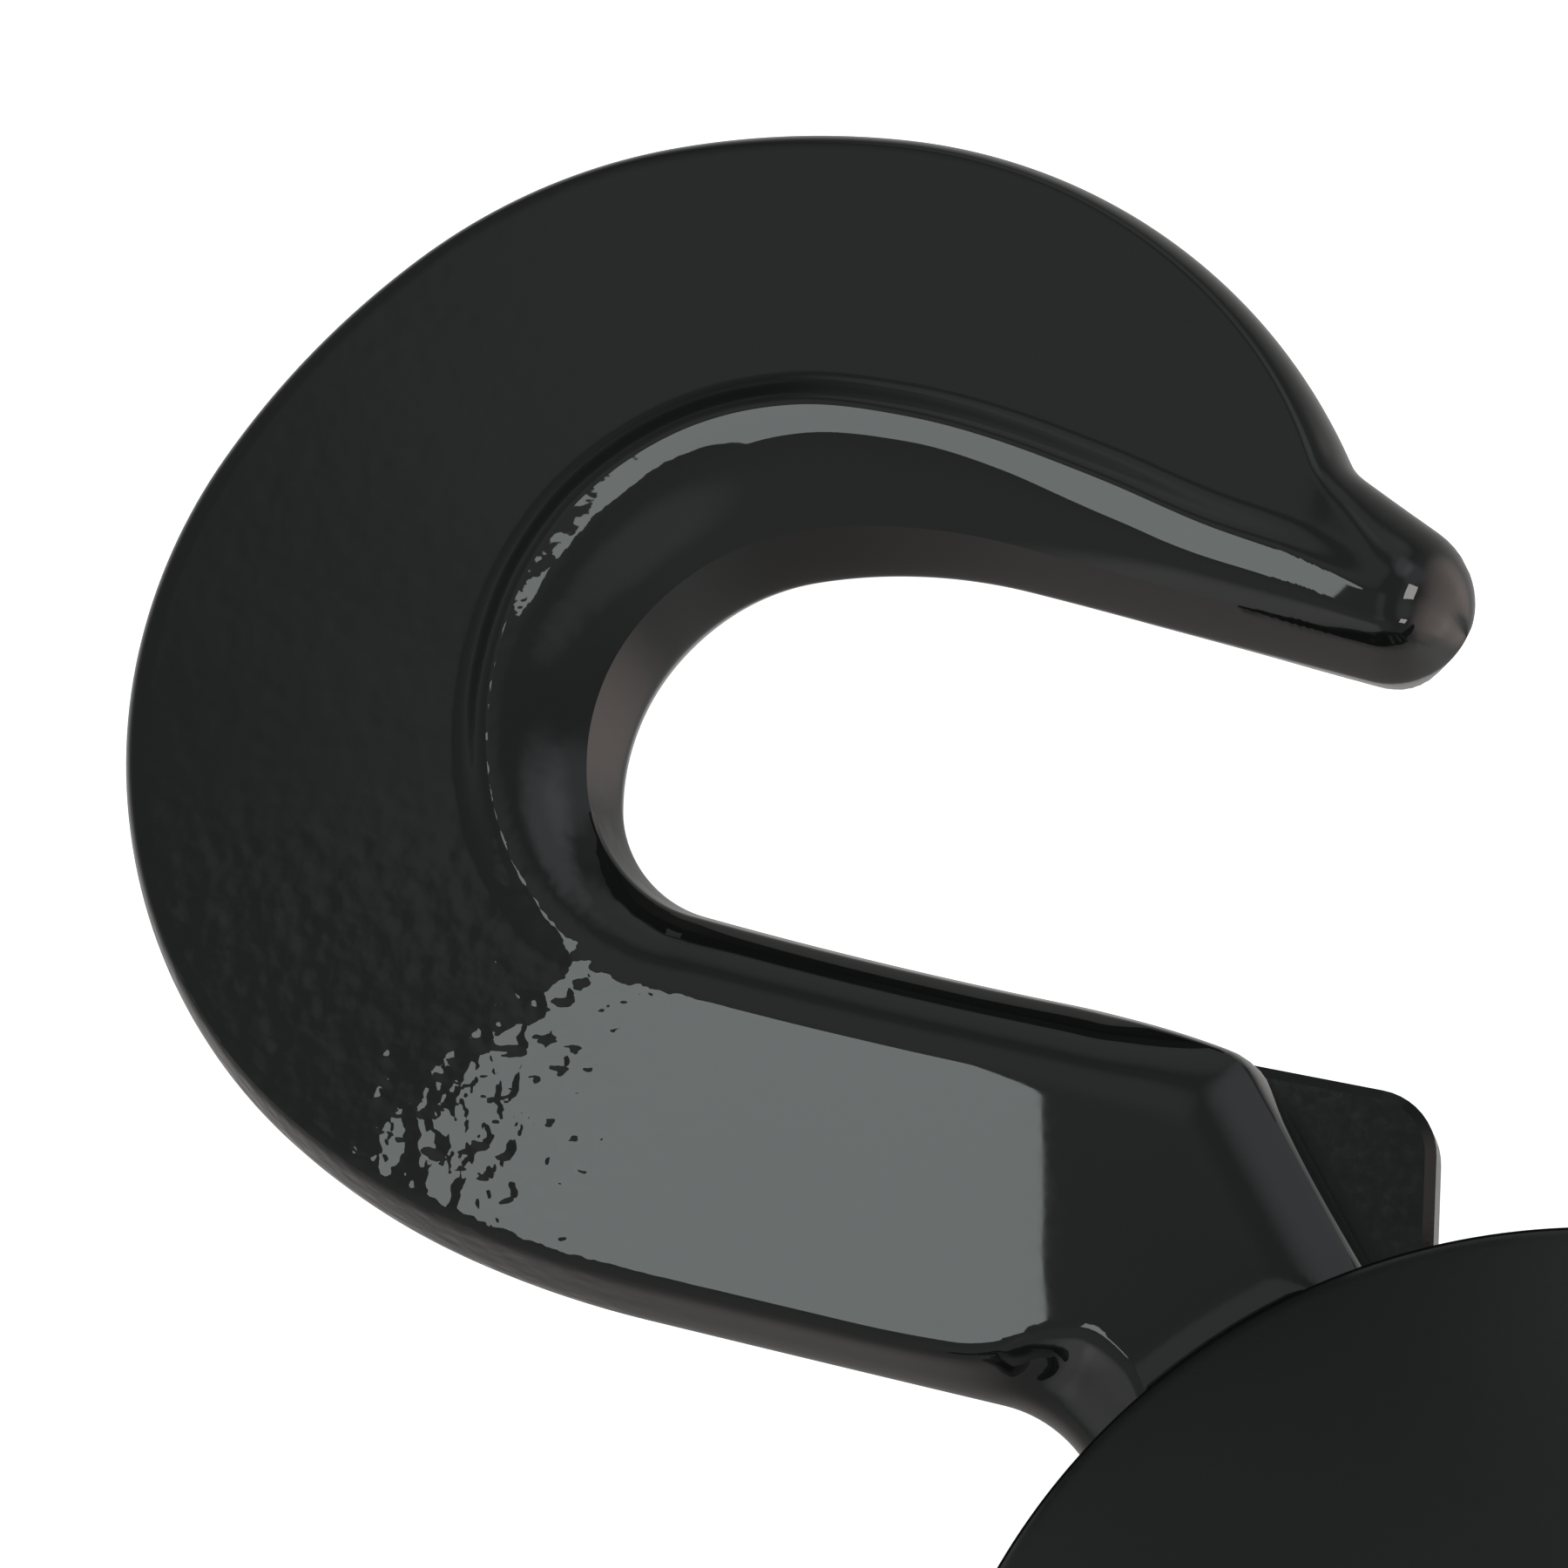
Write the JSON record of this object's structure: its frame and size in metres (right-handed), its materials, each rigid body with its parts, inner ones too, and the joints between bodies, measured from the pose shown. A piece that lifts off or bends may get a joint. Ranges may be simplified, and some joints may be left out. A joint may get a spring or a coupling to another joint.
{
  "type": "treble hook",
  "caption": "Planar treble hook: forged C-shaped hooks that swing between the plates of a round domed hub, which spins on a flanged sleeve for a through bolt.",
  "frame": {"origin": "hub axis at the flat back face, where the sleeve's bore opens", "axes": "+Z along the hub axis from the back plate towards the domed cover; +Y with the first hook's C up and left of the hub, its point towards +X"},
  "size_m": [0.16, 0.1699, 0.0292],
  "materials": {
    "gloss_black": "gloss black powder coat with orange peel on forged steel",
    "satin_black": "satin black painted pressed steel",
    "black_paint": "semi-gloss black painted steel plate",
    "zinc_steel": "zinc-plated steel",
    "turned_steel": "fine turned steel",
    "spring_steel": "dark phosphated spring steel",
    "bronze": "sintered bronze"
  },
  "bodies": {
    "hub": {"back_plate": "black_paint", "front_plate": "zinc_steel", "hub_core": "zinc_steel", "hub_dome": "satin_black", "cover_ring": "zinc_steel", "rear_bush": "bronze", "front_bush": "bronze", "pivot_pin_1": "zinc_steel", "pivot_pin_2": "zinc_steel", "pivot_pin_3": "zinc_steel", "rear_thrust_washers": "bronze", "front_thrust_washers": "bronze", "spacer_posts": "zinc_steel", "stop_pins": "zinc_steel", "front_screws": "zinc_steel", "back_screws": "zinc_steel"},
    "spindle": {"spindle": "turned_steel", "flange_washer": "bronze", "keeper_washer": "zinc_steel", "circlip": "spring_steel"},
    "hook_1": {"hook_arm_1": "gloss_black", "arm_bush_1": "bronze"},
    "hook_2": {"hook_arm_2": "gloss_black", "arm_bush_2": "bronze"},
    "hook_3": {"hook_arm_3": "gloss_black", "arm_bush_3": "bronze"}
  },
  "joints": [
    {"name": "hook_1_swing", "type": "hinge", "parent": "hub", "child": "hook_1", "pos_m": [-0.01233, 0.01773, 0.0116], "axis": [0, 0, 1], "range_deg": [-25, 25]},
    {"name": "hook_2_swing", "type": "hinge", "parent": "hub", "child": "hook_2", "pos_m": [0.02152, 0.00181, 0.0116], "axis": [0, 0, 1], "range_deg": [-25, 25]},
    {"name": "hook_3_swing", "type": "hinge", "parent": "hub", "child": "hook_3", "pos_m": [-0.00919, -0.01955, 0.0116], "axis": [0, 0, 1], "range_deg": [-25, 25]},
    {"name": "spindle_spin", "type": "hinge", "parent": "hub", "child": "spindle", "pos_m": [0, 0, 0.0146], "axis": [0, 0, 1], "continuous": true}
  ]
}
